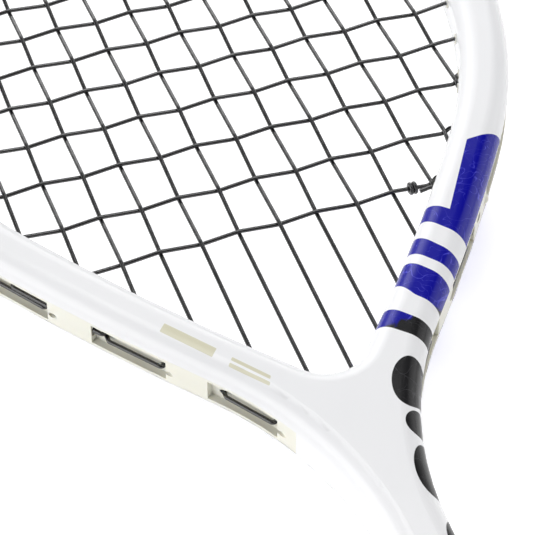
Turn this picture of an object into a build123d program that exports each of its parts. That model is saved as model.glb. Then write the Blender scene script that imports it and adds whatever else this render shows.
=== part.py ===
from build123d import *
import math
import os

# A squash racket lying flat. X runs across the face, Y from the butt to the tip, Z is up.
# The origin is the centre of the butt cap's end face. Millimetres throughout.

# Hoop and throat. The hoop's inner edge is a chain of tangent arcs, from the bottom of the
# throat round to the tip: radius and turn in degrees. One more arc closes it at the tip.
THROAT_Y = 352.5
HOOP_ARCS = [(11, 49), (730, 7), (150, 24), (330, 16), (128, 29), (72, 35)]
WALL = 14.6
BEAM = 18.0
EDGE_ROUND = 5.5
JUNCTION_HEADING = 50.5
SHAFT_HALF = 8.2
SHAFT_BOTTOM = 8.0

# Hollow inside the frame
CAVITY_INNER_WALL = 1.9
CAVITY_OUTER_WALL = 4.2
CAVITY_HALF_HEIGHT = 7.2
CAVITY_END_WALL = 3.0
SHAFT_CAVITY_HALF = 6.6
SHAFT_CAVITY_TOP = 332.0

# Groove round the outside, and the strips that fill it
GROOVE_DEPTH = 3.0
GROOVE_HALF = 4.2
TONGUE_Y = 338.0
FIT_GAP = 0.05
STRIP_FACE_INSET = 0.1
STRIP_BASE = 0.8
STRIP_TOP_Y = 610.0
WINDOW_HALF = 3.3
WINDOW_MARGIN = 2.6
TUNNEL_DEPTH = 1.6
TUNNEL_HALF = 1.5
WINDOW_SPAN = 16.0
MOUTH_PROUD = 0.3

# Bumper over the tip
BUMPER_BOTTOM_Y = 610.4
BUMPER_PROUD = 2.2
BUMPER_HALF = 6.4
BUMPER_SLOT_HALF = 1.6

# Stringing. In the frame's wall the mains run low and the crosses high, so they can share
# a hole and pass each other in the groove.
STRING_RADIUS = 0.6
MAIN_PITCH = 11.5
MAIN_COUNT = 14
FIRST_CROSS_Y = 414.0
CROSS_GAPS = [18.3, 18.3, 17, 16, 15, 14, 13] + [12.5] * 10
WEAVE = 0.65
MAIN_HEIGHT = -0.75
CROSS_HEIGHT = 0.75
WEAVE_BEND = 5.0
LIP_BEND = 1.5
TURN_BEND = 0.9
LIP_STANDOFF = 0.8
STRING_LIFT = 0.55
LONGEST_GROOVE_RUN = 20.0
HOLE_SPACING = 4.6
BARREL_RADIUS = 1.5
BORE_RADIUS = 0.85
EXIT_RELIEF = 1.8
CENTRE_DEPTH = 20.0
CENTRE_BEND = 4.5
FIRST_OUTER_SHIFT = 1.75
FIRST_TAIL_EXIT_X = 57.5
SECOND_CROSS_EXIT_X = 70.0

# Tie-off knots, each two turns round another string
KNOT_TURN_RADIUS = 1.3
KNOT_STRING_RADIUS = 0.58
KNOT_TURN_GAP = 1.25
KNOT_TAIL_ALONG = 1.5
KNOT_TAIL_OUT = 1.9

# Handle
PALLET_BOTTOM = 3.0
PALLET_TOP = 203.0
PALLET_SECTIONS = [(0.0, 35.0, 31.0), (26.0, 29.0, 25.0), (170.0, 29.0, 25.0), (203.0, 24.0, 22.4)]
PALLET_BEVEL = 7.0
WRAP_THICKNESS = 2.0
CAP_TOP = 17.0
CAP_END_WALL = 3.0
CAP_END_ROUND = 2.0
CAP_RECESS_RADIUS = 9.0
CAP_RECESS_DEPTH = 1.2
BADGE_RING_INNER = 6.2
BADGE_RING_OUTER = 7.2
BADGE_RING_DEPTH = 0.4
STAPLE_Y = 11.0
STAPLE_SPAN = 9.0
STAPLE_WIRE = 0.5
STAPLE_LEG = 7.0
STAPLE_TOP = 16.6
TAPE_BOTTOM = 184.0
TAPE_TOP = 198.0
TAPE_THICKNESS = 0.3
COLLAR_TOP = 219.0
COLLAR_SECTIONS = [(203.05, 27.6, 26.0), (219.0, 20.0, 21.6)]
COLLAR_ROUND = 6.5

os.makedirs("parts", exist_ok=True)


# ---- Hoop geometry -------------------------------------------------------------------


def sin(angle):
    return math.sin(math.radians(angle))


def cos(angle):
    return math.cos(math.radians(angle))


def walk(point, heading, radius, turn):
    """End of an arc that starts at the point with the heading and turns left"""
    end = heading + turn
    return Vector(
        point.X + radius * (sin(end) - sin(heading)),
        point.Y + radius * (cos(heading) - cos(end)),
    )


def closed_hoop_arcs():
    """The hoop's arcs with the one at the tip that brings the edge back to X = 0"""
    point = Vector(0, THROAT_Y)
    heading = 0
    for radius, turn in HOOP_ARCS:
        point = walk(point, heading, radius, turn)
        heading += turn
    return HOOP_ARCS + [(point.X / sin(heading), 180 - heading)]


ARCS = closed_hoop_arcs()


def rim(heading, outset):
    """Point at a heading on the right half of the hoop, outset from its inner edge"""
    point = Vector(0, THROAT_Y)
    start = 0
    for radius, turn in ARCS:
        if heading <= start + turn:
            break
        point = walk(point, start, radius, turn)
        start += turn
    point = walk(point, start, radius, heading - start)
    return point + rim_normal(heading) * outset


def rim_normal(heading):
    return Vector(sin(heading), -cos(heading))


def find_heading(low, high, outset, reached):
    """Heading between low and high where the edge first reaches a line"""
    for _ in range(50):
        middle = (low + high) / 2
        if reached(rim(middle, outset)):
            high = middle
        else:
            low = middle
    return low


JUNCTION = rim(JUNCTION_HEADING, WALL)
THROAT_RADIUS = (JUNCTION.X - SHAFT_HALF) / (1 - sin(JUNCTION_HEADING))
THROAT_CENTRE = Vector(SHAFT_HALF + THROAT_RADIUS, JUNCTION.Y - THROAT_RADIUS * cos(JUNCTION_HEADING))


def outer_y(x, inset):
    """Y of the lower outer edge at X, inset into the frame"""
    if x > rim(JUNCTION_HEADING, WALL - inset).X:
        heading = find_heading(JUNCTION_HEADING, 90, WALL - inset, lambda point: point.X > x)
        return rim(heading, WALL - inset).Y
    radius = THROAT_RADIUS + inset
    return THROAT_CENTRE.Y + math.sqrt(radius**2 - (THROAT_CENTRE.X - x) ** 2)


def outer_area(inset):
    """Everything inside the frame's outer edge, with the shaft, inset by a distance"""
    with BuildSketch() as area:
        with BuildLine():
            foot = (SHAFT_HALF - inset, SHAFT_BOTTOM)
            side = Line(foot, (SHAFT_HALF - inset, THROAT_CENTRE.Y))
            arc = JernArc(side @ 1, (0, 1), THROAT_RADIUS + inset, JUNCTION_HEADING - 90)
            heading = 0
            for radius, turn in ARCS:
                left = heading + turn - JUNCTION_HEADING
                heading += turn
                if left > 0:
                    arc = JernArc(arc @ 1, arc % 1, radius + WALL - inset, min(turn, left))
            mirror(about=Plane.YZ)
            Line(foot, (-foot[0], foot[1]))
        make_face()
    return area.sketch


def hoop_area(outset):
    """Everything inside the hoop's inner edge, outset by a distance"""
    with BuildSketch() as area:
        with BuildLine():
            point = Vector(0, THROAT_Y - outset)
            tangent = Vector(1, 0)
            for radius, turn in ARCS:
                arc = JernArc(point, tangent, radius + outset, turn)
                point = arc @ 1
                tangent = arc % 1
            mirror(about=Plane.YZ)
        make_face()
    return area.sketch


# ---- String holes --------------------------------------------------------------------


class StringHole:
    """A string's way through the frame's wall, from the hoop to the groove"""

    def __init__(self, mouth, exit_point, height):
        self.mouth = Vector(mouth.X, mouth.Y, height)
        self.exit = Vector(exit_point.X, exit_point.Y, height)
        self.axis = (self.exit - self.mouth).normalized()
        self.lip = self.mouth - self.axis * LIP_STANDOFF
        square = rim_normal(find_heading(0, 180, WALL - GROOVE_DEPTH, lambda point: point.Y > exit_point.Y))
        lean = abs(self.axis.X) * square.X + self.axis.Y * square.Y
        self.turn = self.exit + self.axis * (STRIP_BASE + STRING_RADIUS + STRING_LIFT) / lean

    def mirrored(self):
        flipped = [Vector(-point.X, point.Y) for point in (self.mouth, self.exit)]
        return StringHole(*flipped, self.mouth.Z)

    def at_height(self, height):
        return StringHole(self.mouth, self.exit, height)


def square_hole(heading, height):
    """A hole square to the rim"""
    return StringHole(rim(heading, 0), rim(heading, WALL - GROOVE_DEPTH), height)


def main_x(index):
    return MAIN_PITCH * (index - (MAIN_COUNT - 1) / 2)


RIGHT_MAINS = [main_x(index) for index in range(MAIN_COUNT // 2, MAIN_COUNT)]
CENTRE_MAIN, FIRST_OUTER_MAIN = RIGHT_MAINS[:2]
FIRST_SHARED_MAIN = RIGHT_MAINS[4]
LAST_MAIN = RIGHT_MAINS[-1]


def lower_mouth(x):
    return rim(find_heading(0, 90, 0, lambda point: point.X > x), 0)


def lower_main_hole(x):
    """Lower hole of a main right of the centre, in line with the main except the last"""
    if x == LAST_MAIN:
        return square_hole(find_heading(0, 90, 0, lambda point: point.X > x), MAIN_HEIGHT)
    exit_x = x + FIRST_OUTER_SHIFT if x == FIRST_OUTER_MAIN else x
    return StringHole(lower_mouth(x), Vector(exit_x, outer_y(exit_x, GROOVE_DEPTH)), MAIN_HEIGHT)


def upper_main_hole(x):
    return square_hole(find_heading(92, 180, 0, lambda point: point.X < x), MAIN_HEIGHT)


LOWER_HOLES = {x: lower_main_hole(x) for x in RIGHT_MAINS[1:]}
UPPER_HOLES = {x: upper_main_hole(x) for x in RIGHT_MAINS}
MAIN_MOUTHS = [hole.mouth for hole in [*LOWER_HOLES.values(), *UPPER_HOLES.values()]]
CROSS_YS = [FIRST_CROSS_Y + sum(CROSS_GAPS[:count]) for count in range(len(CROSS_GAPS) + 1)]


def is_clear(heading):
    mouth = rim(heading, 0)
    return all(math.hypot(mouth.X - main.X, mouth.Y - main.Y) > HOLE_SPACING for main in MAIN_MOUTHS)


def cross_hole(y):
    """Hole of a cross, moved along the rim as little as clears the mains' holes"""
    level = find_heading(0, 180, 0, lambda point: point.Y > y)
    shift = 0
    while not (is_clear(level + shift) or is_clear(level - shift)):
        shift += 0.02
    return square_hole(level + shift if is_clear(level + shift) else level - shift, CROSS_HEIGHT)


def leaning_hole(mouth, exit_x):
    return StringHole(mouth, Vector(exit_x, outer_y(exit_x, GROOVE_DEPTH)), CROSS_HEIGHT)


# The lowest cross shares a main's hole on the left. Its hole on the right and the next one on
# the left lean towards the throat, to reach the groove beside the holes they are joined to.
RIGHT_CROSS_HOLES = [cross_hole(y) for y in CROSS_YS]
RIGHT_CROSS_HOLES[0] = leaning_hole(RIGHT_CROSS_HOLES[0].mouth, FIRST_TAIL_EXIT_X)
LEFT_CROSS_HOLES = [hole.mirrored() for hole in RIGHT_CROSS_HOLES]
LEFT_CROSS_HOLES[0] = LOWER_HOLES[FIRST_SHARED_MAIN].at_height(CROSS_HEIGHT).mirrored()
LEFT_CROSS_HOLES[1] = leaning_hole(RIGHT_CROSS_HOLES[1].mouth, SECOND_CROSS_EXIT_X).mirrored()

# Holes that a string's end comes back through to be tied
LAST_SHARED_ROW = 14
LOWER_CROSS_TIE = LOWER_HOLES[FIRST_SHARED_MAIN].at_height(CROSS_HEIGHT)
UPPER_CROSS_TIE = UPPER_HOLES[FIRST_SHARED_MAIN].at_height(CROSS_HEIGHT)
RIGHT_MAIN_TIE = RIGHT_CROSS_HOLES[LAST_SHARED_ROW].at_height(MAIN_HEIGHT)
LEFT_MAIN_TIE = RIGHT_MAIN_TIE.mirrored()

RIGHT_HOLES = [*LOWER_HOLES.values(), *UPPER_HOLES.values(), *RIGHT_CROSS_HOLES]
RIGHT_HOLES += [LOWER_CROSS_TIE, UPPER_CROSS_TIE, RIGHT_MAIN_TIE]
LEFT_HOLES = [hole.mirrored() for hole in [*LOWER_HOLES.values(), *UPPER_HOLES.values()]]
LEFT_HOLES += [*LEFT_CROSS_HOLES, LEFT_MAIN_TIE]


# ---- String routes -------------------------------------------------------------------


def main_hole(holes, x):
    return holes[x] if x > 0 else holes[-x].mirrored()


def bottom_of_main(x):
    return lower_mouth(abs(x)).Y


def crosses_main(row, x):
    """Whether a cross passes a main inside the hoop before it reaches its own mouth"""
    mouth = (RIGHT_CROSS_HOLES if x > 0 else LEFT_CROSS_HOLES)[row].mouth
    low = bottom_of_main(x) + 2 * STRING_RADIUS
    high = UPPER_HOLES[abs(x)].mouth.Y - 2 * STRING_RADIUS
    return low < CROSS_YS[row] < high and abs(x) < abs(mouth.X) - STRING_RADIUS


def crossing(column, row, is_cross):
    """Point of a crossing; the two strings pass on opposite sides of the plane"""
    over = (column + row) % 2 == 0
    return Vector(main_x(column), CROSS_YS[row], WEAVE if over == is_cross else -WEAVE)


def main_run(column):
    """Corners of one main, from its lower mouth to its upper mouth"""
    x = main_x(column)
    rows = [row for row in range(len(CROSS_YS)) if crosses_main(row, x)]
    upper = main_hole(UPPER_HOLES, x).lip
    lower = Vector(x, lower_lip_y(x), MAIN_HEIGHT)
    woven = [(crossing(column, row, False), WEAVE_BEND) for row in rows]
    return [(lower, LIP_BEND), *woven, (upper, LIP_BEND)]


def lower_lip_y(x):
    if abs(x) == CENTRE_MAIN:
        return bottom_of_main(x) + LIP_STANDOFF
    return LOWER_HOLES[abs(x)].lip.Y


def cross_run(row):
    """Corners of one cross, from its left mouth to its right mouth"""
    columns = [column for column in range(MAIN_COUNT) if crosses_main(row, main_x(column))]
    woven = [(crossing(column, row, True), WEAVE_BEND) for column in columns]
    lips = [(holes[row].lip, LIP_BEND) for holes in (LEFT_CROSS_HOLES, RIGHT_CROSS_HOLES)]
    return [lips[0], *woven, lips[1]]


def groove_run(from_hole, to_hole):
    """Corners along the groove from one hole's turn to another's, following the rim"""
    ends = [from_hole.turn, to_hole.turn]
    outset = WALL - GROOVE_DEPTH + STRIP_BASE + STRING_RADIUS + STRING_LIFT
    steps = int((ends[1] - ends[0]).length / LONGEST_GROOVE_RUN)
    side = 1 if ends[0].X > 0 else -1
    headings = [find_heading(0, 180, outset, lambda point: point.Y > end.Y) for end in ends]
    corners = [(ends[0], TURN_BEND)]
    for step in range(1, steps + 1):
        heading = headings[0] + (headings[1] - headings[0]) * step / (steps + 1)
        spot = rim(heading, outset)
        corners.append((Vector(side * spot.X, spot.Y, ends[0].Z), WEAVE_BEND))
    return [*corners, (ends[1], TURN_BEND)]


def knot_tail(knot, along, out):
    return knot + along * KNOT_TAIL_ALONG + out * KNOT_TAIL_OUT


def between_crosses(x, row):
    return Vector(x, (CROSS_YS[row - 1] + CROSS_YS[row]) / 2, 0)


def between_mains(row):
    return Vector(FIRST_SHARED_MAIN - MAIN_PITCH / 2, CROSS_YS[row], 0)


LAST_ROW = len(CROSS_YS) - 1
RIGHT_MAIN_KNOT = between_crosses(LAST_MAIN, LAST_SHARED_ROW)
LEFT_MAIN_KNOT = between_crosses(-LAST_MAIN, LAST_SHARED_ROW)
LOWER_CROSS_KNOT = between_mains(0)
UPPER_CROSS_KNOT = between_mains(LAST_ROW)
MAIN_KNOT_TAILS = [
    knot_tail(LEFT_MAIN_KNOT, Vector(0, 1), Vector(-1, 0)),
    knot_tail(RIGHT_MAIN_KNOT, Vector(0, 1), Vector(1, 0)),
]
CROSS_KNOT_TAILS = [
    knot_tail(LOWER_CROSS_KNOT, Vector(1, 0), Vector(0, -1)),
    knot_tail(UPPER_CROSS_KNOT, Vector(1, 0), Vector(0, 1)),
]


def main_string_route():
    """Corners of the main string, from the left knot through every main to the right knot"""
    corners = [(MAIN_KNOT_TAILS[0], 0), (LEFT_MAIN_TIE.lip, LIP_BEND)]
    corners += groove_run(LEFT_MAIN_TIE, main_hole(UPPER_HOLES, -LAST_MAIN))
    for column in range(MAIN_COUNT):
        x = main_x(column)
        downward = column % 2 == 0
        corners += main_run(column)[::-1] if downward else main_run(column)
        if x == -CENTRE_MAIN:
            bottom = THROAT_Y - CENTRE_DEPTH
            corners += [(Vector(side * x, bottom, MAIN_HEIGHT), CENTRE_BEND) for side in (1, -1)]
        elif column < MAIN_COUNT - 1:
            holes = LOWER_HOLES if downward else UPPER_HOLES
            corners += groove_run(main_hole(holes, x), main_hole(holes, main_x(column + 1)))
    corners += groove_run(UPPER_HOLES[LAST_MAIN], RIGHT_MAIN_TIE)
    return corners + [(RIGHT_MAIN_TIE.lip, LIP_BEND), (MAIN_KNOT_TAILS[1], 0)]


def cross_string_route():
    """Corners of the cross string, from the lower knot through every cross to the upper knot"""
    corners = [(CROSS_KNOT_TAILS[0], 0), (LOWER_CROSS_TIE.lip, LIP_BEND)]
    corners += groove_run(LOWER_CROSS_TIE, RIGHT_CROSS_HOLES[0])
    for row in range(len(CROSS_YS)):
        leftward = row % 2 == 0
        corners += cross_run(row)[::-1] if leftward else cross_run(row)
        if row < LAST_ROW:
            holes = LEFT_CROSS_HOLES if leftward else RIGHT_CROSS_HOLES
            corners += groove_run(holes[row], holes[row + 1])
    corners += groove_run(RIGHT_CROSS_HOLES[-1], UPPER_CROSS_TIE)
    return corners + [(UPPER_CROSS_TIE.lip, LIP_BEND), (CROSS_KNOT_TAILS[1], 0)]


def guide_line(top_y):
    """Centre line of the turn inside the throat, between the centre pair's mouths"""
    bottom = THROAT_Y - CENTRE_DEPTH
    stops = [(-1, top_y), (-1, bottom), (1, bottom), (1, top_y)]
    with BuildLine() as line:
        FilletPolyline(*[(side * CENTRE_MAIN, y, MAIN_HEIGHT) for side, y in stops], radius=CENTRE_BEND)
    return line.wires()[0]


def bend_radii(corners):
    """Radius of each bend: its own limit, or less where its runs are too short for that"""
    radii = []
    for (before, _), (corner, limit), (after, _) in zip(corners, corners[1:], corners[2:]):
        shorter = min((corner - before).length, (after - corner).length)
        half_turn = (corner - before).get_angle(after - corner) / 2
        radii.append(min(limit, 0.45 * shorter / math.tan(math.radians(half_turn))))
    return radii


# ---- Shared building steps -----------------------------------------------------------


def upright(y):
    """Plane across the handle at Y, facing the tip"""
    return Plane(origin=(0, y, 0), x_dir=(1, 0, 0), z_dir=(0, 1, 0))


def outer_ring(outer_inset, inner_inset):
    """Band along the frame's outer edge, between two distances into the frame"""
    with BuildSketch() as ring:
        add(outer_area(outer_inset))
        add(outer_area(inner_inset), mode=Mode.SUBTRACT)
    return ring.sketch


def hole_cylinders(holes, radius, mode):
    """A cylinder along each hole, running past both its ends"""
    for hole in holes:
        length = (hole.exit - hole.mouth).length + WALL
        middle = (hole.exit + hole.mouth) / 2
        with Locations(Plane(origin=middle, z_dir=hole.axis)):
            Cylinder(radius, length, mode=mode)


def pockets(loops, margin, ring, half_height, centre_height):
    """Pockets in a strip over its base, each from one hole's exit to another's"""
    with BuildPart(Plane.XY.offset(centre_height)) as pocket:
        with BuildSketch():
            for start, end in loops:
                chord = end.exit - start.exit
                middle = (start.exit + end.exit) / 2
                angle = math.degrees(math.atan2(chord.Y, chord.X))
                with Locations(Location((middle.X, middle.Y, 0), (0, 0, angle))):
                    Rectangle(chord.length + 2 * margin, WINDOW_SPAN)
        extrude(amount=half_height, both=True)
        with BuildSketch():
            add(ring)
        extrude(amount=half_height, both=True, mode=Mode.INTERSECT)
    return pocket.part


def exit_reliefs(holes):
    """Rounded mouth at each hole's exit, for the string's bend"""
    with Locations(*[hole.turn for hole in holes]):
        Sphere(EXIT_RELIEF, mode=Mode.SUBTRACT)


def handle_section(y, width, height, grow=0.0):
    """Octagonal section of the handle, grown outwards by a distance"""
    with BuildSketch(upright(y)) as section:
        Rectangle(width + 2 * grow, height + 2 * grow)
        chamfer(section.vertices(), length=PALLET_BEVEL)
    return section.sketch


def handle_loft(bottom, top, grow, mode=Mode.ADD):
    """The handle's octagonal body between two heights, grown outwards by a distance"""
    levels = [bottom, *[y for y, _, _ in PALLET_SECTIONS if bottom < y < top], top]
    for low, high in zip(levels, levels[1:]):
        loft([handle_section(y, *handle_size(y), grow) for y in (low, high)], mode=mode)


def handle_size(y):
    """Width and height of the pallet at Y, between its stated sections"""
    for (low, *small), (high, *large) in zip(PALLET_SECTIONS, PALLET_SECTIONS[1:]):
        if y <= high:
            break
    share = (y - low) / (high - low)
    return [start + share * (end - start) for start, end in zip(small, large)]


def shaft_bore(bottom, top, gap):
    """The shaft's own section cut through a piece that fits round it"""
    with BuildSketch(upright(bottom)) as section:
        Rectangle(2 * (SHAFT_HALF + gap), BEAM + 2 * gap)
        fillet(section.vertices(), radius=EDGE_ROUND)
    extrude(section.sketch, amount=top - bottom, mode=Mode.SUBTRACT)


def staple_wires(radius, growth, mode):
    """Two staples, one on each wide face of the butt cap: a crown and two legs each"""
    for side in (-1, 1):
        top = side * STAPLE_TOP
        foot = side * (STAPLE_TOP - STAPLE_LEG - growth)
        half = STAPLE_SPAN / 2
        with BuildLine() as wire:
            Polyline((-half, STAPLE_Y, foot), (-half, STAPLE_Y, top), (half, STAPLE_Y, top), (half, STAPLE_Y, foot))
        route = wire.wires()[0]
        with BuildSketch(Plane(origin=route @ 0, z_dir=route % 0)) as section:
            Rectangle(2 * radius, 2 * radius)
        sweep(section.sketch, path=route, transition=Transition.RIGHT, mode=mode)


def finish(part, name):
    part.label = name
    export_step(part, f"parts/{name}.step")


# ---- Frame: one hollow carbon moulding, hoop, throat and shaft ------------------------

with BuildPart() as frame:
    with BuildSketch():
        add(outer_area(0))
        add(hoop_area(0), mode=Mode.SUBTRACT)
    extrude(amount=BEAM / 2, both=True)
    rims = frame.edges().filter_by(lambda edge: abs(abs(edge.center().Z) - BEAM / 2) < 0.01)
    fillet(rims.filter_by(lambda edge: edge.center().Y > SHAFT_BOTTOM + 1), radius=EDGE_ROUND)
    with BuildSketch():
        add(outer_ring(-1, GROOVE_DEPTH))
        with Locations((0, TONGUE_Y)):
            Rectangle(4 * JUNCTION.X, 2 * TONGUE_Y, align=(Align.CENTER, Align.MAX), mode=Mode.SUBTRACT)
    extrude(amount=GROOVE_HALF, both=True, mode=Mode.SUBTRACT)
    with BuildSketch():
        add(outer_area(CAVITY_OUTER_WALL))
        add(hoop_area(CAVITY_INNER_WALL), mode=Mode.SUBTRACT)
        with Locations((0, SHAFT_CAVITY_TOP)):
            Rectangle(2 * SHAFT_CAVITY_HALF, SHAFT_CAVITY_TOP - SHAFT_BOTTOM, align=(Align.CENTER, Align.MAX))
        with Locations((0, SHAFT_BOTTOM + CAVITY_END_WALL)):
            Rectangle(4 * SHAFT_HALF, 2 * CAVITY_END_WALL, align=(Align.CENTER, Align.MAX), mode=Mode.SUBTRACT)
    extrude(amount=CAVITY_HALF_HEIGHT, both=True, mode=Mode.SUBTRACT)
    hole_cylinders(RIGHT_HOLES + LEFT_HOLES, BARREL_RADIUS + FIT_GAP, Mode.SUBTRACT)
    guide_route = guide_line(THROAT_Y + EDGE_ROUND)
    with BuildSketch(Plane(origin=guide_route @ 0, z_dir=guide_route % 0)):
        Circle(BARREL_RADIUS + FIT_GAP)
    sweep(path=guide_route, mode=Mode.SUBTRACT)
finish(frame.part, "frame")

# ---- Throat guide: the tube that turns the centre pair of mains inside the throat ------

with BuildPart() as throat_string_guide:
    with BuildSketch(Plane(origin=guide_route @ 0, z_dir=guide_route % 0)):
        Circle(BARREL_RADIUS)
        Circle(BORE_RADIUS, mode=Mode.SUBTRACT)
    sweep(path=guide_route)
    with BuildSketch():
        add(hoop_area(-MOUTH_PROUD))
    extrude(amount=BEAM, both=True, mode=Mode.SUBTRACT)
finish(throat_string_guide.part, "throat_string_guide")

# ---- Grommet strips: one each side, with barrels through the wall and windows ----------

RIGHT_LOOPS = [
    (LOWER_HOLES[RIGHT_MAINS[1]], LOWER_HOLES[RIGHT_MAINS[2]]),
    (LOWER_HOLES[RIGHT_MAINS[3]], LOWER_HOLES[RIGHT_MAINS[4]]),
    (LOWER_HOLES[RIGHT_MAINS[5]], LOWER_HOLES[RIGHT_MAINS[6]]),
]
LEFT_LOOPS = [(start.mirrored(), end.mirrored()) for start, end in RIGHT_LOOPS]
RIGHT_LOOPS += [tuple(RIGHT_CROSS_HOLES[row:row + 2]) for row in range(1, LAST_ROW, 2)]
LEFT_LOOPS += [tuple(LEFT_CROSS_HOLES[row:row + 2]) for row in range(2, LAST_ROW, 2)]
RIGHT_TUNNELS = [(LOWER_CROSS_TIE, RIGHT_CROSS_HOLES[0])]
LEFT_TUNNELS = [(LEFT_CROSS_HOLES[0], LEFT_CROSS_HOLES[1])]
BASE_INSET = GROOVE_DEPTH - STRIP_BASE
WINDOW_RING = outer_ring(-1, BASE_INSET)
TUNNEL_RING = outer_ring(BASE_INSET - TUNNEL_DEPTH, BASE_INSET)
SIDES = [
    ("left_grommet_strip", -1, LEFT_HOLES, LEFT_LOOPS, LEFT_TUNNELS),
    ("right_grommet_strip", 1, RIGHT_HOLES, RIGHT_LOOPS, RIGHT_TUNNELS),
]

for name, side, holes, loops, tunnels in SIDES:
    strip_holes = [hole for hole in holes if hole.exit.Y < STRIP_TOP_Y]
    with BuildPart() as grommet_strip:
        hole_cylinders(strip_holes, BARREL_RADIUS, Mode.ADD)
        with BuildSketch():
            add(outer_area(BASE_INSET))
            add(hoop_area(-MOUTH_PROUD), mode=Mode.SUBTRACT)
        extrude(amount=BEAM / 2, both=True, mode=Mode.INTERSECT)
        with BuildSketch():
            add(outer_ring(STRIP_FACE_INSET, GROOVE_DEPTH - FIT_GAP))
            with Locations((side * LAST_MAIN, (TONGUE_Y + FIT_GAP + STRIP_TOP_Y) / 2)):
                Rectangle(2 * LAST_MAIN, STRIP_TOP_Y - TONGUE_Y - FIT_GAP, mode=Mode.INTERSECT)
        extrude(amount=GROOVE_HALF - FIT_GAP, both=True)
        add(pockets(loops, WINDOW_MARGIN, WINDOW_RING, WINDOW_HALF, 0), mode=Mode.SUBTRACT)
        add(pockets(tunnels, 0, TUNNEL_RING, TUNNEL_HALF, CROSS_HEIGHT), mode=Mode.SUBTRACT)
        exit_reliefs(strip_holes)
        hole_cylinders(strip_holes, BORE_RADIUS, Mode.SUBTRACT)
    finish(grommet_strip.part, name)

# ---- Head bumper: guards the tip, with its own barrels and a slot for the string --------

bumper_holes = [hole for hole in RIGHT_HOLES + LEFT_HOLES if hole.exit.Y > STRIP_TOP_Y]

with BuildPart() as head_bumper:
    hole_cylinders(bumper_holes, BARREL_RADIUS, Mode.ADD)
    with BuildSketch():
        add(outer_area(BASE_INSET))
        add(hoop_area(-MOUTH_PROUD), mode=Mode.SUBTRACT)
    extrude(amount=BEAM / 2, both=True, mode=Mode.INTERSECT)
    with BuildSketch():
        add(outer_ring(-FIT_GAP, GROOVE_DEPTH - FIT_GAP))
        with Locations((0, BUMPER_BOTTOM_Y)):
            Rectangle(4 * LAST_MAIN, BEAM * 5, align=(Align.CENTER, Align.MIN), mode=Mode.INTERSECT)
    extrude(amount=GROOVE_HALF - FIT_GAP, both=True)
    with BuildSketch():
        add(outer_ring(-BUMPER_PROUD, -FIT_GAP))
        with Locations((0, BUMPER_BOTTOM_Y)):
            Rectangle(4 * LAST_MAIN, BEAM * 5, align=(Align.CENTER, Align.MIN), mode=Mode.INTERSECT)
    extrude(amount=BUMPER_HALF, both=True)
    with BuildSketch():
        add(outer_ring(-2 * BUMPER_PROUD, BASE_INSET))
    extrude(amount=BUMPER_SLOT_HALF, both=True, mode=Mode.SUBTRACT)
    exit_reliefs(bumper_holes)
    hole_cylinders(bumper_holes, BORE_RADIUS, Mode.SUBTRACT)
finish(head_bumper.part, "head_bumper")

# ---- Strings ---------------------------------------------------------------------------

ROUTES = [("main_string", main_string_route()), ("cross_string", cross_string_route())]

for name, corners in ROUTES:
    with BuildPart() as string:
        with BuildLine():
            route = FilletPolyline(*[point for point, _ in corners], radius=bend_radii(corners))
        with BuildSketch(Plane(origin=route @ 0, z_dir=route % 0)):
            Circle(STRING_RADIUS)
        sweep()
    print(name, "length", round(route.length), "smallest bend", round(min(bend_radii(corners)), 2))
    finish(string.part, name)

# ---- Tie-off knots: two turns of a string's end round the string beside it ---------------

KNOTS = [
    ("main_string_knots", [RIGHT_MAIN_KNOT, LEFT_MAIN_KNOT], Vector(0, 1, 0)),
    ("cross_string_knots", [LOWER_CROSS_KNOT, UPPER_CROSS_KNOT], Vector(1, 0, 0)),
]

for name, centres, along in KNOTS:
    turns = [centre + along * KNOT_TURN_GAP / 2 * side for centre in centres for side in (-1, 1)]
    with BuildPart() as knots:
        with Locations(*[Plane(origin=turn, z_dir=along) for turn in turns]):
            Torus(KNOT_TURN_RADIUS, KNOT_STRING_RADIUS)
    finish(knots.part, name)

# ---- Handle: a foam pallet moulded round the shaft, and what covers it -------------------

with BuildPart() as handle_pallet:
    handle_loft(PALLET_BOTTOM + FIT_GAP, PALLET_TOP, 0)
    shaft_bore(SHAFT_BOTTOM - FIT_GAP, PALLET_TOP, FIT_GAP)
    staple_wires(STAPLE_WIRE + FIT_GAP, FIT_GAP, Mode.SUBTRACT)
finish(handle_pallet.part, "handle_pallet")

with BuildPart() as grip_wrap:
    handle_loft(CAP_TOP + FIT_GAP, PALLET_TOP, WRAP_THICKNESS)
    handle_loft(CAP_TOP + FIT_GAP, PALLET_TOP, FIT_GAP, Mode.SUBTRACT)
finish(grip_wrap.part, "grip_wrap")

with BuildPart() as grip_finishing_tape:
    handle_loft(TAPE_BOTTOM, TAPE_TOP, WRAP_THICKNESS + FIT_GAP + TAPE_THICKNESS)
    handle_loft(TAPE_BOTTOM, TAPE_TOP, WRAP_THICKNESS + FIT_GAP, Mode.SUBTRACT)
finish(grip_finishing_tape.part, "grip_finishing_tape")

with BuildPart() as grip_collar:
    for level, width, height in COLLAR_SECTIONS:
        with BuildSketch(upright(level)):
            RectangleRounded(width, height, COLLAR_ROUND)
    loft()
    shaft_bore(PALLET_TOP, COLLAR_TOP, FIT_GAP)
finish(grip_collar.part, "grip_collar")

with BuildPart() as butt_cap:
    handle_loft(0, CAP_TOP, WRAP_THICKNESS)
    end_edges = butt_cap.faces().sort_by(Axis.Y)[0].edges()
    fillet(end_edges, radius=CAP_END_ROUND)
    handle_loft(CAP_END_WALL, CAP_TOP, FIT_GAP, Mode.SUBTRACT)
    with BuildSketch(upright(0)):
        Circle(CAP_RECESS_RADIUS)
    extrude(amount=CAP_RECESS_DEPTH, mode=Mode.SUBTRACT)
    staple_wires(STAPLE_WIRE + FIT_GAP, FIT_GAP, Mode.SUBTRACT)
finish(butt_cap.part, "butt_cap")

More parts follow.
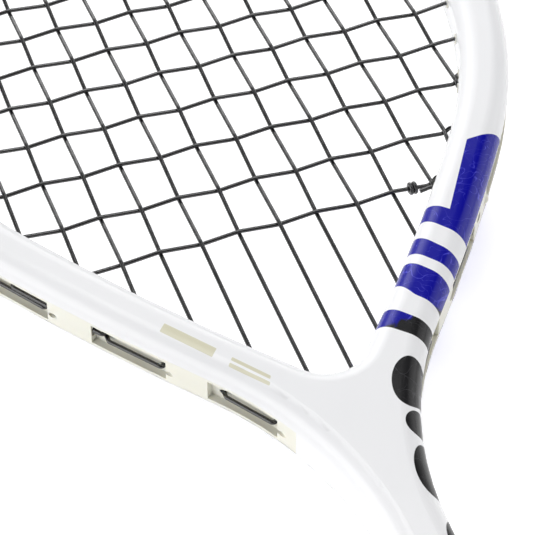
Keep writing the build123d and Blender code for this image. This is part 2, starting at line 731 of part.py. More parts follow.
with BuildPart() as butt_badge:
    with BuildSketch(upright(0)):
        Circle(CAP_RECESS_RADIUS - FIT_GAP)
    extrude(amount=CAP_RECESS_DEPTH)
    with BuildSketch(upright(0)):
        Circle(BADGE_RING_OUTER)
        Circle(BADGE_RING_INNER, mode=Mode.SUBTRACT)
    extrude(amount=BADGE_RING_DEPTH, mode=Mode.SUBTRACT)
finish(butt_badge.part, "butt_badge")

with BuildPart() as butt_cap_staples:
    staple_wires(STAPLE_WIRE, 0, Mode.ADD)
finish(butt_cap_staples.part, "butt_cap_staples")
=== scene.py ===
import math

import bpy
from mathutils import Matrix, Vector


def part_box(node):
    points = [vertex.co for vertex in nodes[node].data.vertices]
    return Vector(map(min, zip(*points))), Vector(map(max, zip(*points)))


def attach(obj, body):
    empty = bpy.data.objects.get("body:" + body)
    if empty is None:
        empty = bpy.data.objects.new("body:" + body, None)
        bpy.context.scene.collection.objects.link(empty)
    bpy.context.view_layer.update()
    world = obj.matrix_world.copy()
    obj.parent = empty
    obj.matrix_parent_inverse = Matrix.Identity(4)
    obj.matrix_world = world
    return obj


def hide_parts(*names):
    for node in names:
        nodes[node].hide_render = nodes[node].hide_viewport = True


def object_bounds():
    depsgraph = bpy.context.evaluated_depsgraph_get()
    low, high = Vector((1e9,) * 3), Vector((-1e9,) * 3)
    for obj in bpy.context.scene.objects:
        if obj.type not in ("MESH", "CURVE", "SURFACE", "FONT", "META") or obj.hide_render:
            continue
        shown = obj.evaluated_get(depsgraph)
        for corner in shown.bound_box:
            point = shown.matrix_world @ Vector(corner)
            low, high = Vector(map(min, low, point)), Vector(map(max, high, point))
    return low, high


# The squash racket in the CAD frame: X across the face, Y from the butt to the tip, Z up.
# Lengths in the helpers below are millimetres, turned into metres where a mesh is made.

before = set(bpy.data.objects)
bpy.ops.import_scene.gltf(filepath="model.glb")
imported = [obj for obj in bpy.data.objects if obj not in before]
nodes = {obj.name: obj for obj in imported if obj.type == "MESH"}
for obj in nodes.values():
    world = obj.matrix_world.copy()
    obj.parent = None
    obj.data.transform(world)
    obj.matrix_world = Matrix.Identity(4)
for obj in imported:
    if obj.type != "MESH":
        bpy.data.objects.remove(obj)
cad_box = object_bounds()
MM = 0.001


# ---- Node helpers --------------------------------------------------------------------


class Shader:
    """A material with one Principled shader, and short ways to add nodes to it"""

    def __init__(self, name, **sockets):
        self.material = bpy.data.materials.new(name)
        self.material.use_nodes = True
        self.tree = self.material.node_tree
        self.surface = self.tree.nodes["Principled BSDF"]
        for socket, value in sockets.items():
            self.surface.inputs[socket.replace("_", " ")].default_value = value

    def add(self, kind, inputs=(), **settings):
        node = self.tree.nodes.new(kind)
        for setting, value in settings.items():
            setattr(node, setting, value)
        for socket, value in dict(inputs).items():
            self.feed(node.inputs[socket], value)
        return node

    def feed(self, socket, value):
        if isinstance(value, bpy.types.NodeSocket):
            self.tree.links.new(value, socket)
        else:
            socket.default_value = value

    def math(self, operation, *values):
        return self.add("ShaderNodeMath", enumerate(values), operation=operation).outputs[0]

    def total(self, *values):
        result = values[0]
        for value in values[1:]:
            result = self.math("ADD", result, value)
        return result

    def largest(self, *values):
        result = values[0]
        for value in values[1:]:
            result = self.math("MAXIMUM", result, value)
        return result

    def between(self, share, low, high):
        return self.math("MULTIPLY_ADD", share, high - low, low)

    def ramp(self, value, low, high):
        """A smooth step from 0 where value is low to 1 where it is high"""
        inputs = {"Value": value, "From Min": low, "From Max": high}
        node = self.add("ShaderNodeMapRange", inputs, interpolation_type="SMOOTHSTEP")
        return node.outputs["Result"]

    def mix(self, share, first, second):
        """A blend of two colours, all second where share is 1"""
        node = self.add("ShaderNodeMix", data_type="RGBA")
        share_socket = next(socket for socket in node.inputs if socket.type == "VALUE")
        colour_sockets = [socket for socket in node.inputs if socket.type == "RGBA"]
        for socket, value in zip([share_socket, *colour_sockets], (share, first, second)):
            self.feed(socket, value)
        return next(socket for socket in node.outputs if socket.type == "RGBA")

    def blend(self, share, tones):
        """A blend of two plain tones"""
        return self.mix(share, *[colour(*tone) for tone in tones])

    def scaled(self, vector, factors):
        node = self.add("ShaderNodeVectorMath", {0: vector, 1: factors}, operation="MULTIPLY")
        return node.outputs[0]

    def place(self):
        """Position on the object in millimetres, whole and as X, Y and Z"""
        where = self.scaled(self.add("ShaderNodeTexCoord").outputs["Object"], (1 / MM,) * 3)
        return where, self.add("ShaderNodeSeparateXYZ", {0: where}).outputs

    def noise(self, where, size, detail=2.0, **inputs):
        """Noise with features of a size in millimetres"""
        values = {"Vector": where, "Scale": 1 / size, "Detail": detail, **inputs}
        return self.add("ShaderNodeTexNoise", values).outputs["Fac"]

    def relief(self, height, depth, below=None):
        """Bump of a depth in millimetres"""
        inputs = {"Height": height, "Distance": depth * MM, "Strength": 1.0}
        if below is not None:
            inputs["Normal"] = below
        return self.add("ShaderNodeBump", inputs).outputs["Normal"]

    def set(self, **sockets):
        """Feed the surface's sockets, and give the finished material"""
        for socket, value in sockets.items():
            self.feed(self.surface.inputs[socket.replace("_", " ")], value)
        return self.material


def colour(red, green, blue):
    return (red, green, blue, 1.0)


# ---- Painted shell -------------------------------------------------------------------

# Where the arms' middle lines start, and how steeply they rise
ARM_START = (13.8, 351.5)
ARM_ANGLE = math.radians(52.5)

EDGE_SOFTNESS = 0.07
CORNER_EASE = 0.5

# Marks along the right arm: corners as distance up the arm and distance out from its middle.
# Each runs on round the arm's sides.
ARM_MARKS = [
    [(16.4, -9.5), (13.0, 9.5), (7.2, 9.5), (9.4, -9.5)],
    [(27.5, -9.5), (21.8, 0.8), (20.0, 9.5), (29.6, 9.5), (32.0, 2.6), (34.6, -9.5)],
    [(45.0, -9.5), (39.4, 9.5), (34.0, 9.5), (38.4, -9.5)],
    [(51.4, -9.5), (48.9, 0.0), (46.9, 9.5), (55.0, 9.5), (55.6, 3.0), (57.4, -9.5)],
    [(54.0, 1.6), (84.0, -1.0), (93.0, 9.5), (53.0, 9.5)],
]

# Below this distance up the arm its marks are black, and blue above it. The border slants
# across the arm and wanders with the noise.
ARM_BLACK_BELOW = 12.0
BORDER_HALF_WIDTH = 1.2
BORDER_SLANT = -1.1
BORDER_SHIFT = -4.5
BORDER_WANDER = 9.0

# Black marks on the right side of the throat and shaft: middle, half sizes and lean
SIDE_MARKS = [
    ((15.3, 341.0), (8.4, 4.9), 68),
    ((13.2, 327.6), (4.4, 4.4), 80),
    ((9.9, 312.6), (9.0, 4.6), 80),
    ((8.6, 288.0), (9.6, 4.0), 88),
    ((8.5, 264.0), (8.2, 3.4), 90),
    ((8.4, 244.0), (6.4, 2.8), 90),
]

# Pale bars on the left arm, as distances up the arm and out from its middle
PALE_BARS = [
    [(38.5, 1.3), (38.0, 4.3), (21.5, 4.3), (22.0, 1.3)],
    [(17.0, 1.6), (16.7, 2.7), (4.6, 2.7), (5.0, 1.6)],
    [(16.5, 3.5), (16.2, 4.6), (3.6, 4.6), (4.0, 3.5)],
]

# Slanted blue bars on both sides of the head, by their height at its widest
HEAD_HALF_WIDTH = 100
HEAD_BARS_LOW = 556.0
HEAD_BARS_HIGH = 604.0
HEAD_BAR_PITCH = 16.0
HEAD_BAR_WIDTH = 7.0
HEAD_BAR_SLANT = 0.45

# Pale creases in the coloured marks, mostly in patches
PATCH_SIZE = 4.5
PATCH_LEVELS = (0.42, 0.62)
CREASE_SIZES = (7.0, 4.2)
CREASE_WIDTH = 0.014
CREASE_ELSEWHERE = 0.2

BLUES = (0.0, 0.0, 0.27), (0.06, 0.06, 0.55)
BLACKS = (0.009, 0.009, 0.010), (0.04, 0.04, 0.044)
WHITES = (0.75, 0.755, 0.77), (0.81, 0.81, 0.82)
PALE_BAR_COLOUR = (0.60, 0.58, 0.44)
SHADE_SIZE = 60.0
ORANGE_PEEL_SIZE = 1.6
ORANGE_PEEL_DEPTH = 0.012
PAINT_THICKNESS = 0.02
POLISH_SIZE = 14.0
PAINT_ROUGHNESS = (0.17, 0.27)


def arm_coordinates(shader, x, y):
    """Distances up an arm and out from its middle line"""
    run = shader.math("SUBTRACT", x, ARM_START[0])
    rise = shader.math("SUBTRACT", y, ARM_START[1])
    cos, sin = math.cos(ARM_ANGLE), math.sin(ARM_ANGLE)
    turned = []
    for across, up in ((cos, sin), (sin, -cos)):
        turned.append(shader.math("MULTIPLY_ADD", run, across, shader.math("MULTIPLY", rise, up)))
    return turned


def inside_polygon(shader, corners, along, out):
    """Mask of a convex polygon"""
    middle = [sum(corner[axis] for corner in corners) / len(corners) for axis in (0, 1)]
    depth = None
    for (a1, o1), (a2, o2) in zip(corners, corners[1:] + corners[:1]):
        length = math.hypot(a2 - a1, o2 - o1)
        normal = ((o1 - o2) / length, (a2 - a1) / length)
        offset = -(normal[0] * a1 + normal[1] * o1)
        if normal[0] * middle[0] + normal[1] * middle[1] + offset < 0:
            normal = (-normal[0], -normal[1])
            offset = -offset
        across = shader.math("MULTIPLY_ADD", out, normal[1], offset)
        distance = shader.math("MULTIPLY_ADD", along, normal[0], across)
        if depth is None:
            depth = distance
        else:
            depth = shader.math("SMOOTH_MIN", depth, distance, CORNER_EASE)
    return shader.ramp(depth, -EDGE_SOFTNESS, EDGE_SOFTNESS)


def inside_ellipse(shader, middle, half_sizes, lean, x, y):
    """Mask of an ellipse whose long axis leans from X"""
    run = shader.math("SUBTRACT", x, middle[0])
    rise = shader.math("SUBTRACT", y, middle[1])
    cos, sin = math.cos(math.radians(lean)), math.sin(math.radians(lean))
    long = shader.math("MULTIPLY_ADD", run, cos, shader.math("MULTIPLY", rise, sin))
    short = shader.math("MULTIPLY_ADD", run, -sin, shader.math("MULTIPLY", rise, cos))
    reach = shader.math("POWER", shader.math("DIVIDE", long, half_sizes[0]), 2.0)
    spread = shader.math("POWER", shader.math("DIVIDE", short, half_sizes[1]), 2.0)
    edge = EDGE_SOFTNESS / half_sizes[1]
    return shader.ramp(shader.math("SQRT", shader.total(reach, spread)), 1 + edge, 1 - edge)


def head_bars(shader, x, y):
    """Mask of the slanted bars on the head"""
    away = shader.math("ABSOLUTE", x)
    level = shader.math("MULTIPLY_ADD", away, HEAD_BAR_SLANT, y)
    start = HEAD_BARS_LOW + HEAD_HALF_WIDTH * HEAD_BAR_SLANT
    stop = HEAD_BARS_HIGH + HEAD_HALF_WIDTH * HEAD_BAR_SLANT
    phase = shader.math("MODULO", shader.math("SUBTRACT", level, start), HEAD_BAR_PITCH)
    bar = shader.ramp(phase, HEAD_BAR_WIDTH + EDGE_SOFTNESS, HEAD_BAR_WIDTH - EDGE_SOFTNESS)
    above = shader.ramp(level, start - EDGE_SOFTNESS, start + EDGE_SOFTNESS)
    below = shader.ramp(level, stop + EDGE_SOFTNESS, stop - EDGE_SOFTNESS)
    return shader.math("MULTIPLY", bar, shader.math("MULTIPLY", above, below))


def creases(shader, where, streak):
    """Thin lines along the middle of warped noise, strongest where the streak noise is high"""
    lines = []
    for size in CREASE_SIZES:
        level = shader.noise(where, size, 0.0, Distortion=0.8)
        middle = shader.math("ABSOLUTE", shader.math("SUBTRACT", level, 0.5))
        lines.append(shader.ramp(middle, CREASE_WIDTH, 0.0))
    patch = shader.ramp(streak, *PATCH_LEVELS)
    strength = shader.between(patch, CREASE_ELSEWHERE, 1)
    return shader.math("MULTIPLY", shader.largest(*lines), strength)


def painted_shell():
    """White lacquer over carbon, with coloured marks in which the carbon's creases show"""
    shader = Shader("painted_shell", IOR=1.38)
    where, (x, y, _) = shader.place()
    along, out = arm_coordinates(shader, x, y)
    left = arm_coordinates(shader, shader.math("MULTIPLY", x, -1.0), y)

    arm = shader.largest(*[inside_polygon(shader, corners, along, out) for corners in ARM_MARKS])
    side = shader.largest(*[inside_ellipse(shader, *mark, x, y) for mark in SIDE_MARKS])
    marked = shader.largest(arm, side, head_bars(shader, x, y))
    pale = shader.largest(*[inside_polygon(shader, corners, *left) for corners in PALE_BARS])

    streak = shader.noise(where, PATCH_SIZE, 2.0, Distortion=1.6)
    marble = creases(shader, where, streak)
    blue = shader.blend(marble, BLUES)
    black = shader.blend(marble, BLACKS)
    slant = shader.math("MULTIPLY_ADD", out, BORDER_SLANT, BORDER_SHIFT)
    level = shader.math("ADD", along, shader.math("MULTIPLY_ADD", streak, BORDER_WANDER, slant))
    border = (ARM_BLACK_BELOW - BORDER_HALF_WIDTH, ARM_BLACK_BELOW + BORDER_HALF_WIDTH)
    mark_colour = shader.mix(shader.ramp(level, *border), black, blue)

    white = shader.blend(shader.noise(where, SHADE_SIZE, 1.0), WHITES)
    paint = shader.mix(pale, white, colour(*PALE_BAR_COLOUR))
    paint = shader.mix(marked, paint, mark_colour)

    normal = shader.relief(shader.noise(where, ORANGE_PEEL_SIZE, 2.0), ORANGE_PEEL_DEPTH)
    normal = shader.relief(shader.largest(marked, pale), PAINT_THICKNESS, normal)
    rough = shader.between(shader.noise(where, POLISH_SIZE, 4.0), *PAINT_ROUGHNESS)
    return shader.set(Base_Color=paint, Normal=normal, Roughness=rough)


# ---- Plain-coloured materials with their own grain ------------------------------------

IVORIES = (0.68, 0.67, 0.58), (0.76, 0.75, 0.68)
IVORY_GLOW = (1.0, 0.85, 0.55)
SCUFF_COLOUR = (0.36, 0.35, 0.31)
SCUFF_STRETCH = (0.25, 1.4, 1.4)
SCUFF_START_Y = 650.0
SCUFF_FULL_Y = 684.0
SCRATCH_SIZE = 0.9
SCRATCH_LEVELS = (0.56, 0.72)
SCRATCH_DEPTH = -1.5
NYLON_GRAIN_SIZE = 0.45
NYLON_GRAIN_DEPTH = 0.02
NYLON_CLOUD_SIZE = 12.0
NYLON_ROUGHNESS = (0.30, 0.48)


def ivory_nylon(name, scuffed):
    """Translucent nylon with a fine grain, and scratches towards the tip where it is scuffed"""
    shader = Shader(name, IOR=1.53, Subsurface_Weight=0.25, Subsurface_Scale=0.0015)
    shader.surface.inputs["Subsurface Radius"].default_value = IVORY_GLOW
    where, (_, y, _) = shader.place()
    cloud = shader.noise(where, NYLON_CLOUD_SIZE, 3.0)
    base = shader.blend(cloud, IVORIES)
    height = shader.noise(where, NYLON_GRAIN_SIZE, 3.0)
    if scuffed:
        stretched = shader.scaled(where, SCUFF_STRETCH)
        scratch = shader.noise(stretched, SCRATCH_SIZE, 6.0, Distortion=0.6)
        near_tip = shader.ramp(y, SCUFF_START_Y, SCUFF_FULL_Y)
        worn = shader.math("MULTIPLY", shader.ramp(scratch, *SCRATCH_LEVELS), near_tip)
        base = shader.mix(worn, base, colour(*SCUFF_COLOUR))
        height = shader.math("MULTIPLY_ADD", worn, SCRATCH_DEPTH, height)
    rough = shader.between(cloud, *NYLON_ROUGHNESS)
    normal = shader.relief(height, NYLON_GRAIN_DEPTH)
    return shader.set(Base_Color=base, Normal=normal, Roughness=rough)


FILAMENT_PITCH = 0.62
FILAMENT_DEPTH = 0.006
STRING_TONES = (0.003, 0.003, 0.004), (0.010, 0.010, 0.011)
STRING_WEAR_SIZE = 3.0
STRING_ROUGHNESS = (0.12, 0.20)


def black_string():
    """Coated string: twisted filaments just show under a glossy coat"""
    shader = Shader("black_string", IOR=1.7)
    where, (x, y, z) = shader.place()
    ridges = []
    for slope in (1.0, -1.0):
        level = shader.math("MULTIPLY_ADD", y, slope, x)
        twist = shader.math("MULTIPLY_ADD", z, 0.9, level)
        turn = shader.math("MULTIPLY", twist, 2 * math.pi / FILAMENT_PITCH)
        ridges.append(shader.math("SINE", turn))
    normal = shader.relief(shader.math("MULTIPLY", *ridges), FILAMENT_DEPTH)
    wear = shader.noise(where, STRING_WEAR_SIZE, 4.0)
    base = shader.blend(wear, STRING_TONES)
    rough = shader.between(wear, *STRING_ROUGHNESS)
    return shader.set(Base_Color=base, Normal=normal, Roughness=rough)


# The wound band, and its staggered holes, which stop short of its hems
WRAP_PITCH = 23.0
HEM = ((1.5, 2.6), (21.4, 20.0))
PERFORATION_PITCH = 3.2
PERFORATION_ROW = PERFORATION_PITCH / 2
PERFORATION_RIM = (0.54, 0.32)
# Near-black painted shade inside the perforations, which are only a bump
PERFORATION_SHADE_COLOUR = (0.001, 0.001, 0.001)
PERFORATION_DEPTH = -3.0
LEATHER_TONES = (0.012, 0.012, 0.014), (0.032, 0.032, 0.036)
LEATHER_DEPTH = 0.10
LEATHER_ROUGHNESS = (0.5, 0.7)
PEBBLE_SIZE = 0.7
LEATHER_WEAR_SIZE = 20.0


def grip_leather():
    """Perforated synthetic leather with painted shade in its holes; the UV map runs along and
    across the wound band, in mm
    """
    shader = Shader("grip_leather", Sheen_Weight=0.06, Sheen_Roughness=0.4, IOR=1.4)
    where, _ = shader.place()
    uv = shader.add("ShaderNodeUVMap").outputs[0]
    along, across, _ = shader.add("ShaderNodeSeparateXYZ", {0: uv}).outputs
    row = shader.math("FLOOR", shader.math("DIVIDE", across, PERFORATION_ROW))
    stagger = shader.math("MULTIPLY", shader.math("MODULO", row, 2.0), PERFORATION_ROW)
    staggered = shader.math("ADD", along, stagger)
    squares = []
    for value, pitch in ((staggered, PERFORATION_PITCH), (across, PERFORATION_ROW)):
        share = shader.math("FRACT", shader.math("DIVIDE", value, pitch))
        offset = shader.math("MULTIPLY", shader.math("SUBTRACT", share, 0.5), pitch)
        squares.append(shader.math("MULTIPLY", offset, offset))
    away = shader.math("SQRT", shader.total(*squares))
    hole = shader.ramp(away, *PERFORATION_RIM)
    hem = shader.math("MULTIPLY", *[shader.ramp(across, *edge) for edge in HEM])
    hole = shader.math("MULTIPLY", hole, hem)
    pebble = shader.noise(where, PEBBLE_SIZE, 4.0)
    worn = shader.noise(where, LEATHER_WEAR_SIZE, 3.0)
    # Painted shade: the holes are coloured near-black for the shadow inside each one
    base = shader.mix(hole, shader.blend(worn, LEATHER_TONES), colour(*PERFORATION_SHADE_COLOUR))
    height = shader.math("MULTIPLY_ADD", hole, PERFORATION_DEPTH, pebble)
    normal = shader.relief(height, LEATHER_DEPTH)
    rough = shader.between(worn, *LEATHER_ROUGHNESS)
    return shader.set(Base_Color=base, Normal=normal, Roughness=rough)


MOULDED_CLOUD_SIZE = 8.0


def moulded(name, tones, grain_size, depth, roughness, **sockets):
    """A moulded or coated surface: two tones in soft clouds and an even grain"""
    shader = Shader(name, **sockets)
    where, _ = shader.place()
    cloud = shader.noise(where, MOULDED_CLOUD_SIZE, 4.0)
    base = shader.blend(cloud, tones)
    normal = shader.relief(shader.noise(where, grain_size, 3.0), depth)
    rough = shader.between(cloud, *roughness)
    return shader.set(Base_Color=base, Normal=normal, Roughness=rough)


RING_EDGES = (6.15, 6.25), (7.25, 7.15)
RING_COLOUR = (0.72, 0.72, 0.74)
LABEL_TONES = (0.004, 0.004, 0.26), (0.03, 0.035, 0.5)
LABEL_STREAK_SIZE = 1.4
LABEL_STREAK_LEVELS = (0.4, 0.7)
LABEL_DEPTH = 0.01


def badge_label():
    """Flush label: a blue disc with a thin pale ring and a marbled middle"""
    shader = Shader("badge_label", Roughness=0.15, Coat_Weight=0.4, Coat_Roughness=0.04)
    where, (x, _, z) = shader.place()
    squares = [shader.math("MULTIPLY", value, value) for value in (x, z)]
    radius = shader.math("SQRT", shader.total(*squares))
    ring = shader.math("MULTIPLY", *[shader.ramp(radius, *edge) for edge in RING_EDGES])
    warped = shader.noise(where, LABEL_STREAK_SIZE, 5.0, Distortion=2.4)
    streak = shader.ramp(warped, *LABEL_STREAK_LEVELS)
    base = shader.mix(ring, shader.blend(streak, LABEL_TONES), colour(*RING_COLOUR))
    return shader.set(Base_Color=base, Normal=shader.relief(streak, LABEL_DEPTH))


FOAM_TONES = (0.55, 0.52, 0.42), (0.68, 0.65, 0.55)
VINYL_TONES = (0.004, 0.004, 0.20), (0.012, 0.012, 0.32)
RUBBER_TONES = (0.010, 0.010, 0.011), (0.026, 0.026, 0.027)
CAP_TONES = (0.014, 0.014, 0.016), (0.026, 0.026, 0.029)
WIRE_TONES = (0.45, 0.45, 0.47), (0.6, 0.6, 0.62)

shell = painted_shell()
strip_nylon = ivory_nylon("strip_nylon", False)
bumper_nylon = ivory_nylon("bumper_nylon", True)
string_coat = black_string()
leather = grip_leather()
foam = moulded("pallet_foam", FOAM_TONES, 0.9, 0.12, (0.7, 0.9))
vinyl = moulded("tape_vinyl", VINYL_TONES, 2.4, 0.05, (0.34, 0.48), IOR=1.4)
rubber = moulded("collar_rubber", RUBBER_TONES, 0.5, 0.04, (0.5, 0.72))
cap_plastic = moulded("cap_plastic", CAP_TONES, 0.6, 0.07, (0.34, 0.5))
wire = moulded("staple_wire", WIRE_TONES, 0.4, 0.01, (0.25, 0.4), Metallic=1.0)
label = badge_label()

NODE_MATERIALS = {
    "frame": shell,
    "throat_string_guide": strip_nylon,
    "left_grommet_strip": strip_nylon,
    "right_grommet_strip": strip_nylon,
    "head_bumper": bumper_nylon,
    "main_string": string_coat,
    "cross_string": string_coat,
    "main_string_knots": string_coat,
    "cross_string_knots": string_coat,
    "handle_pallet": foam,
    "grip_wrap": leather,
    "grip_finishing_tape": vinyl,
    "grip_collar": rubber,
    "butt_cap": cap_plastic,
    "butt_badge": label,
    "butt_cap_staples": wire,
}
for name, material in NODE_MATERIALS.items():
    slots = nodes[name].data.materials
    slots.clear()
    slots.append(material)


# ---- Mesh helpers --------------------------------------------------------------------


def mesh_piece(name, points, faces, material, uvs=None):
    """A smooth mesh object from points in millimetres, on the racket's one body"""
    mesh = bpy.data.meshes.new(name)
    mesh.from_pydata([Vector(point) * MM for point in points], [], faces)
    mesh.materials.append(material)
    if uvs:
        layer = mesh.uv_layers.new(name="band")
        for loop in mesh.loops:
            layer.data[loop.index].uv = uvs[loop.vertex_index]
    mesh.polygons.foreach_set("use_smooth", [True] * len(mesh.polygons))
    mesh.update()
    piece = bpy.data.objects.new(name, mesh)
    bpy.context.scene.collection.objects.link(piece)
    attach(piece, "root")
    return piece


def chamfered_ring(width, height, bevel, count, rounding):
    """Points round a chamfered rectangle, evenly spaced, with its corners eased"""
    half_width, half_height = width / 2, height / 2
    quarter = [(half_width, half_height - bevel), (half_width - bevel, half_height)]
    corners = quarter + [(-x, z) for x, z in reversed(quarter)]
    corners += [(-x, -z) for x, z in corners]
    lengths = [math.dist(a, b) for a, b in zip(corners, corners[1:] + corners[:1])]
    step = sum(lengths) / count
    ring = []
    for number in range(count):
        left = number * step
        side = 0
        while left > lengths[side]:
            left -= lengths[side]
            side += 1
        start, end = corners[side], corners[(side + 1) % len(corners)]
        share = left / lengths[side]
        ring.append([start[axis] + (end[axis] - start[axis]) * share for axis in (0, 1)])
    eased = []
    for number in range(count):
        near = [ring[(number + shift) % count] for shift in range(-rounding, rounding + 1)]
        eased.append([sum(point[axis] for point in near) / len(near) for axis in (0, 1)])
    return eased


def sleeve(name, levels, ring_at, material, uv_at=None):
    """A closed skin through one ring at each level, with a flat end at both"""
    rings = [ring_at(level) for level in levels]
    count = len(rings[0])
    points = [(x, level, z) for level, ring in zip(levels, rings) for x, z in ring]
    faces = []
    for row in range(len(levels) - 1):
        for number in range(count):
            after = (number + 1) % count
            low, high = row * count, (row + 1) * count
            faces.append((low + number, high + number, high + after, low + after))
    faces.append(list(range(count)))
    faces.append(list(range(len(points) - 1, len(points) - count - 1, -1)))
    uvs = uv_at and [uv_at(level, number / count) for level in levels for number in range(count)]
    return mesh_piece(name, points, faces, material, uvs)


def stepped(low, high, step):
    """Levels from low to high, about a step apart"""
    count = round((high - low) / step)
    return [low + (high - low) * number / count for number in range(count + 1)]


# ---- Grip wrap: one band wound up the handle, each turn over the last ------------------

# The octagonal handle under the wrap: height up the handle, width and thickness
HANDLE_SECTIONS = [(0.0, 35.0, 31.0), (26.0, 29.0, 25.0), (170.0, 29.0, 25.0), (203.0, 24.0, 22.4)]
HANDLE_BEVEL = 7.0
HANDLE_EASE = 2

WRAP_THICKNESS = 2.0
WRAP_COUNT = 120
WRAP_STEP = 0.55
WRAP_PERIMETER = 104.0
BAND_LEAN = 0.22
WRAP_END_LENGTH = 0.8
WRAP_END_TUCK = 0.6

# Each turn starts low, rises over the edge of the last within part of its width, and sags
TURN_LIP = 0.85
TURN_LIP_SHARE = 0.16
TURN_SAG = 0.25


def levels_of(node):
    """The lowest and highest levels of a CAD node along the racket"""
    low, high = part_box(node)
    return low.y / MM, high.y / MM


def handle_size(level):
    for (low, *small), (high, *large) in zip(HANDLE_SECTIONS, HANDLE_SECTIONS[1:]):
        if level <= high:
            break
    share = (level - low) / (high - low)
    return [start + share * (end - start) for start, end in zip(small, large)]


def wound(level, share):
    """How far across the band a point of the handle is, from 0 to 1"""
    return (level / WRAP_PITCH - share) % 1.0


def wrap_ring(level):
    width, height = [size + 2 * WRAP_THICKNESS for size in handle_size(level)]
    ring = chamfered_ring(width, height, HANDLE_BEVEL, WRAP_COUNT, HANDLE_EASE)
    low, high = wrap_levels
    from_end = min(level - low, high - level)
    tuck = WRAP_END_TUCK * max(0.0, 1 - from_end / WRAP_END_LENGTH) ** 2
    points = []
    for number, (x, z) in enumerate(ring):
        across = wound(level, number / WRAP_COUNT)
        sink = TURN_LIP * max(0.0, 1 - across / TURN_LIP_SHARE) ** 1.5
        sink += TURN_SAG * math.sin(math.pi * across) ** 2 + tuck
        length = math.hypot(x, z)
        points.append((x * (1 - sink / length), z * (1 - sink / length)))
    return points


def band_uv(level, share):
    return (share * WRAP_PERIMETER + BAND_LEAN * level, wound(level, share) * WRAP_PITCH)


wrap_levels = levels_of("grip_wrap")
wrap_steps = stepped(*wrap_levels, WRAP_STEP)
wound_band = sleeve("wound_grip_band", wrap_steps, wrap_ring, leather, band_uv)
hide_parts("grip_wrap")


# ---- Rubber collar: grooved sleeve that tapers from the wrap to the shaft --------------

# Width and height at the collar's low end, and how much less they are at its high end
COLLAR_WIDTH, COLLAR_HEIGHT = 27.6, 26.0
COLLAR_WIDTH_LOSS, COLLAR_HEIGHT_LOSS = 7.6, 4.4
COLLAR_BEVEL = 5.2
COLLAR_COUNT = 96
COLLAR_EASE = 3
COLLAR_STEP = 0.16
COLLAR_GROOVES = [206.5, 209.5, 212.5, 215.5]
GROOVE_HALF_WIDTH = 0.55
GROOVE_DEPTH = 0.55
COLLAR_END_LENGTH = 0.9
COLLAR_END_ROUND = 0.6


def collar_ring(level):
    low, high = collar_levels
    share = (level - low) / (high - low)
    from_groove = min(abs(level - groove) for groove in COLLAR_GROOVES)
    from_end = min(level - low, high - level)
    sink = GROOVE_DEPTH * max(0.0, 1 - from_groove / GROOVE_HALF_WIDTH) ** 0.5
    sink += COLLAR_END_ROUND * max(0.0, 1 - from_end / COLLAR_END_LENGTH) ** 2
    width = COLLAR_WIDTH - COLLAR_WIDTH_LOSS * share - 2 * sink
    height = COLLAR_HEIGHT - COLLAR_HEIGHT_LOSS * share - 2 * sink
    return chamfered_ring(width, height, COLLAR_BEVEL, COLLAR_COUNT, COLLAR_EASE)


collar_levels = levels_of("grip_collar")
collar_steps = stepped(*collar_levels, COLLAR_STEP)
grooved_collar = sleeve("grooved_collar", collar_steps, collar_ring, rubber)
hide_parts("grip_collar")


# ---- Stage, light and camera -----------------------------------------------------------

# The stage is in metres, except the size of the floor's shade, which its material measures
FLOOR_GAP = 0.0004
FLOOR_REACH = 6.0
FLOOR_GLOW = 0.36
FLOOR_TONES = (0.92, 0.92, 0.92), (0.94, 0.94, 0.94)
FLOOR_SHADE_SIZE = 400.0

floor_z = cad_box[0][2] - FLOOR_GAP
floor_corners = [
    (side_x * FLOOR_REACH, side_y * FLOOR_REACH, floor_z)
    for side_x, side_y in ((-1, -1), (1, -1), (1, 1), (-1, 1))
]
floor_mesh = bpy.data.meshes.new("floor")
floor_mesh.from_pydata(floor_corners, [], [(0, 1, 2, 3)])
floor_shader = Shader("pale_floor", Roughness=0.9, Emission_Strength=FLOOR_GLOW)
floor_where, _ = floor_shader.place()
floor_shade = floor_shader.noise(floor_where, FLOOR_SHADE_SIZE, 2.0)
floor_paint = floor_shader.blend(floor_shade, FLOOR_TONES)
floor_mesh.materials.append(floor_shader.set(Base_Color=floor_paint))
floor = bpy.data.objects.new("floor", floor_mesh)
bpy.context.scene.collection.objects.link(floor)


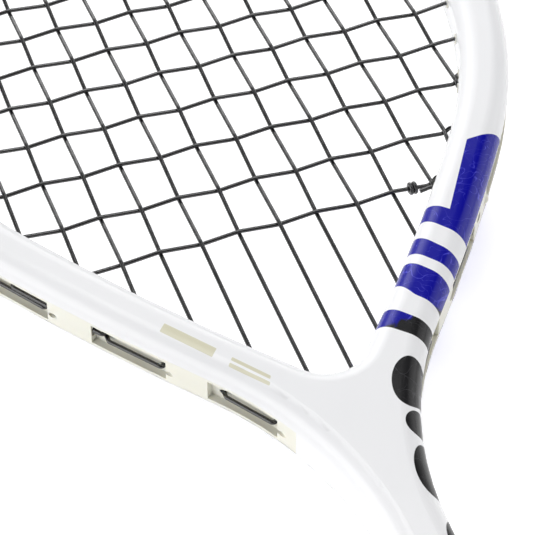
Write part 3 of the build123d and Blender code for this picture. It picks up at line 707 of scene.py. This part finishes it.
def softbox(name, place, target, size, power):
    """A rectangular light that faces a point on the racket"""
    light = bpy.data.lights.new(name, "AREA")
    light.shape = "RECTANGLE"
    light.size, light.size_y = size
    light.energy = power
    holder = bpy.data.objects.new(name, light)
    holder.location = place
    facing = Vector(target) - Vector(place)
    holder.rotation_euler = facing.to_track_quat("-Z", "Y").to_euler()
    bpy.context.scene.collection.objects.link(holder)


softbox("left_softbox", (-1.5, 0.4, 0.6), (0.0, 0.38, 0.0), (1.8, 1.0), 18)
softbox("right_softbox", (1.5, 0.3, 0.7), (0.0, 0.38, 0.0), (1.6, 1.0), 4)
softbox("back_softbox", (0.2, 2.1, 0.9), (0.0, 0.4, 0.0), (2.0, 0.9), 15)
softbox("overhead_softbox", (0.35, 0.75, 1.6), (0.0, 0.42, 0.0), (1.6, 0.9), 18)

# The sky darkens upwards between two heights on a sphere of radius 1
SKY_STRENGTH = 0.8
SKY_STOPS = [(0.10, (1.0, 1.0, 1.0)), (0.60, (0.06, 0.06, 0.063))]

world = bpy.data.worlds.new("studio")
world.use_nodes = True
background = world.node_tree.nodes["Background"]
sky_place = world.node_tree.nodes.new("ShaderNodeTexCoord")
sky_axes = world.node_tree.nodes.new("ShaderNodeSeparateXYZ")
sky_ramp = world.node_tree.nodes.new("ShaderNodeValToRGB")
for element, (position, tone) in zip(sky_ramp.color_ramp.elements, SKY_STOPS):
    element.position = position
    element.color = colour(*tone)
world.node_tree.links.new(sky_place.outputs["Generated"], sky_axes.inputs[0])
world.node_tree.links.new(sky_axes.outputs[2], sky_ramp.inputs[0])
world.node_tree.links.new(sky_ramp.outputs[0], background.inputs["Color"])
background.inputs["Strength"].default_value = SKY_STRENGTH
bpy.context.scene.world = world
bpy.context.scene.view_settings.view_transform = "Standard"

CAMERA_LENS = 168.2
CAMERA_PLACE = (-0.1631, -0.0430, 0.4977)
CAMERA_DOWN = math.radians(46.635)
CAMERA_TURN = math.radians(-19.916)

camera_data = bpy.data.cameras.new("camera")
camera_data.lens = CAMERA_LENS
camera = bpy.data.objects.new("camera", camera_data)
camera.location = CAMERA_PLACE
camera.rotation_euler = (math.pi / 2 - CAMERA_DOWN, 0.0, CAMERA_TURN)
bpy.context.scene.collection.objects.link(camera)
bpy.context.scene.camera = camera
